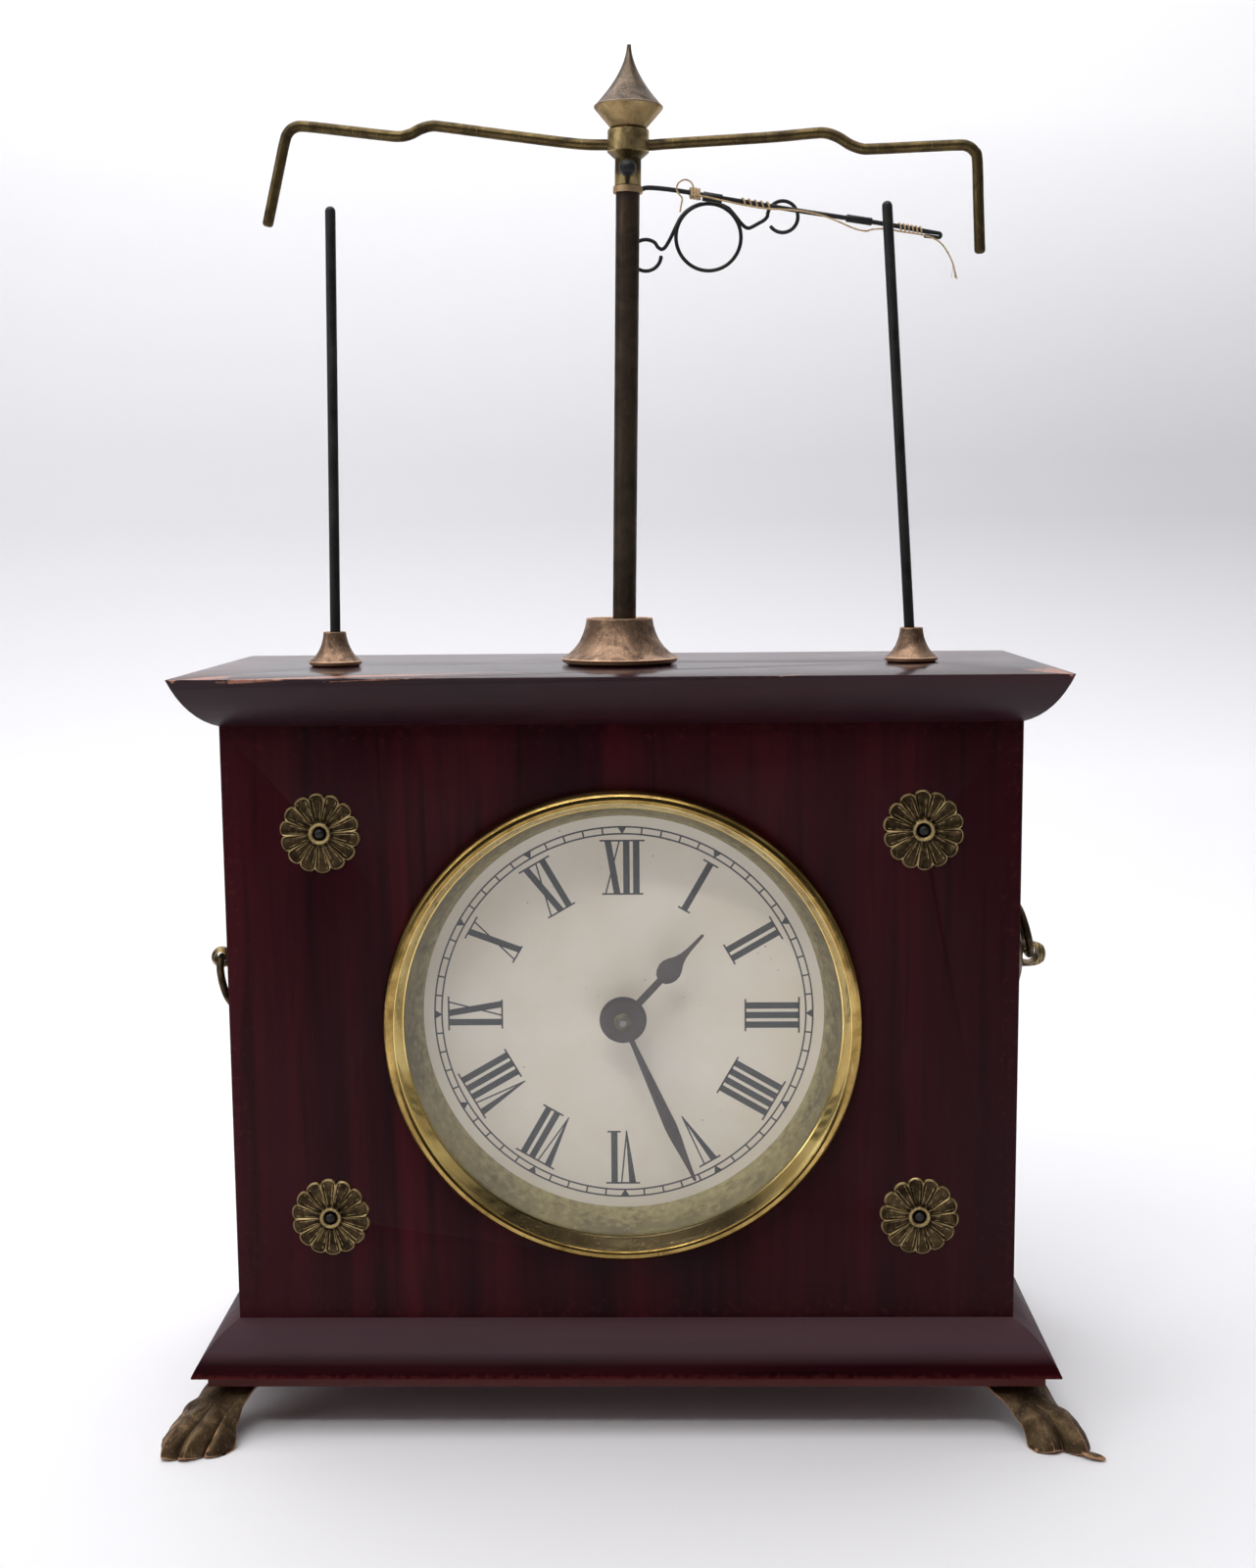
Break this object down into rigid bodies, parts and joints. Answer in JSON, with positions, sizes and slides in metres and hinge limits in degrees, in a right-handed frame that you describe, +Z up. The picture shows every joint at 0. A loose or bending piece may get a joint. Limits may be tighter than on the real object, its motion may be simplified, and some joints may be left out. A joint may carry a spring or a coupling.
{
  "type": "flying pendulum clock",
  "caption": "Small wooden mantel clock with a round dial, paw feet and a mast whose arm swings a thread round upright pins",
  "frame": {"origin": "middle of the object's box on the floor, under the middle of the case", "axes": "+X to the clock's right as seen from the front, +Y to the back, +Z up"},
  "size_m": [0.1904, 0.1002, 0.2848],
  "materials": {
    "mahogany": "dark red stained mahogany, semi-gloss varnish, worn at the cap's front edge",
    "board_wood": "plain red stained wood",
    "old_brass": "dull tarnished brass",
    "brown_brass": "brown and pinkish tarnished brass",
    "bright_brass": "polished brass",
    "black_steel": "blackened steel wire",
    "bare_steel": "bare steel",
    "dark_steel": "dark bronzed steel hands",
    "glass": "clear flat glass",
    "dial_white": "matt off-white dial",
    "movement_brass": "plain rolled brass",
    "thread": "tan thread"
  },
  "bodies": {
    "case": {"base": "mahogany", "bottom_board": "board_wood", "front_panel": "mahogany", "side_panel_left": "mahogany", "side_panel_right": "mahogany", "cap": "mahogany", "hinges_fixed": "old_brass", "foot_front_left": "brown_brass", "foot_front_right": "brown_brass", "foot_rear_left": "brown_brass", "foot_rear_right": "brown_brass", "foot_screws": "old_brass", "rosette_top_left": "old_brass", "rosette_top_right": "old_brass", "rosette_bottom_left": "old_brass", "rosette_bottom_right": "old_brass", "rosette_nails": "old_brass", "side_stud_left": "old_brass", "side_stud_right": "old_brass", "bezel": "bright_brass", "glass": "glass", "inner_ring": "old_brass", "dial": "dial_white", "mast_foot": "brown_brass", "spindle": "bare_steel", "hub": "old_brass", "guard_rod": "old_brass", "finial": "brown_brass", "pin_left": "black_steel", "pin_right": "black_steel", "pin_cone_left": "brown_brass", "pin_cone_right": "brown_brass", "front_plate": "movement_brass", "back_plate": "movement_brass", "pillars": "movement_brass", "spindle_cock": "movement_brass"},
    "flyer": {"mast_tube": "brown_brass", "arm": "black_steel", "arm_sleeves": "black_steel", "scroll_wire": "black_steel", "thread": "thread", "thread_windings": "thread"},
    "contrate": {"contrate_wheel": "movement_brass"},
    "centre": {"centre_wheel": "movement_brass"},
    "great": {"great_wheel": "movement_brass", "mainspring": "bare_steel"},
    "minute": {"centre_arbor": "bare_steel", "minute_hand": "dark_steel", "hand_nut": "bright_brass"},
    "hour": {"hour_hand": "dark_steel", "hour_wheel": "movement_brass"},
    "minute_gear": {"minute_wheel": "movement_brass"},
    "winding": {"winding_key": "movement_brass"},
    "click": {"click": "bare_steel"},
    "door": {"back_door": "board_wood", "hinges_moving": "old_brass", "door_knob": "old_brass"},
    "ring_left": {"side_ring_left": "old_brass"},
    "ring_right": {"side_ring_right": "old_brass"},
    "thumb": {"thumb_screw": "black_steel"}
  },
  "joints": [
    {"name": "flyer_turn", "type": "hinge", "parent": "case", "child": "flyer", "pos_m": [-0.0006, 0, 0.1025], "axis": [0.0166, 0, 0.9999], "range_deg": [-3, 168]},
    {"name": "contrate_turn", "type": "hinge", "parent": "case", "child": "contrate", "pos_m": [-0.0006, 0, 0.1025], "axis": [0, 1, 0], "range_deg": [-1.05, 56.05]},
    {"name": "centre_turn", "type": "hinge", "parent": "case", "child": "centre", "pos_m": [0, 0, 0.0845], "axis": [0, 1, 0], "range_deg": [-14.05, 0.3]},
    {"name": "great_turn", "type": "hinge", "parent": "case", "child": "great", "pos_m": [0, 0, 0.0665], "axis": [0, 1, 0], "range_deg": [-0.08, 3.55]},
    {"name": "minute_turn", "type": "hinge", "parent": "case", "child": "minute", "pos_m": [0, 0, 0.0845], "axis": [0, 1, 0], "continuous": true},
    {"name": "hour_turn", "type": "hinge", "parent": "case", "child": "hour", "pos_m": [0, 0, 0.0845], "axis": [0, 1, 0], "continuous": true},
    {"name": "minute_gear_turn", "type": "hinge", "parent": "case", "child": "minute_gear", "pos_m": [0.005, 0, 0.07584], "axis": [0, 1, 0], "continuous": true},
    {"name": "winding_turn", "type": "hinge", "parent": "case", "child": "winding", "pos_m": [0, 0, 0.0665], "axis": [0, 1, 0], "range_deg": [-1800, 0]},
    {"name": "click_pivot", "type": "hinge", "parent": "case", "child": "click", "pos_m": [0.01, 0.0145, 0.072], "axis": [0, 1, 0], "range_deg": [-3, 8]},
    {"name": "door_swing", "type": "hinge", "parent": "case", "child": "door", "pos_m": [-0.0725, 0.0332, 0.0845], "axis": [0, 0, 1], "range_deg": [0, 110]},
    {"name": "ring_left_swing", "type": "hinge", "parent": "case", "child": "ring_left", "pos_m": [-0.0857, -0.014, 0.0955], "axis": [0, 1, 0], "range_deg": [0, 208]},
    {"name": "ring_right_swing", "type": "hinge", "parent": "case", "child": "ring_right", "pos_m": [0.0857, -0.014, 0.0955], "axis": [0, 1, 0], "range_deg": [0, 208]},
    {"name": "thumb_screw_turn", "type": "hinge", "parent": "case", "child": "thumb", "pos_m": [0.002, -0.005, 0.25918], "axis": [0, 1, 0], "range_deg": [0, 720]}
  ],
  "couplings": [
    {"joint": "contrate_turn", "follows": "flyer_turn", "ratio": 0.33333},
    {"joint": "centre_turn", "follows": "flyer_turn", "ratio": -0.083333},
    {"joint": "great_turn", "follows": "flyer_turn", "ratio": 0.020833},
    {"joint": "hour_turn", "follows": "minute_turn", "ratio": 0.083333},
    {"joint": "minute_gear_turn", "follows": "minute_turn", "ratio": -0.33333}
  ]
}
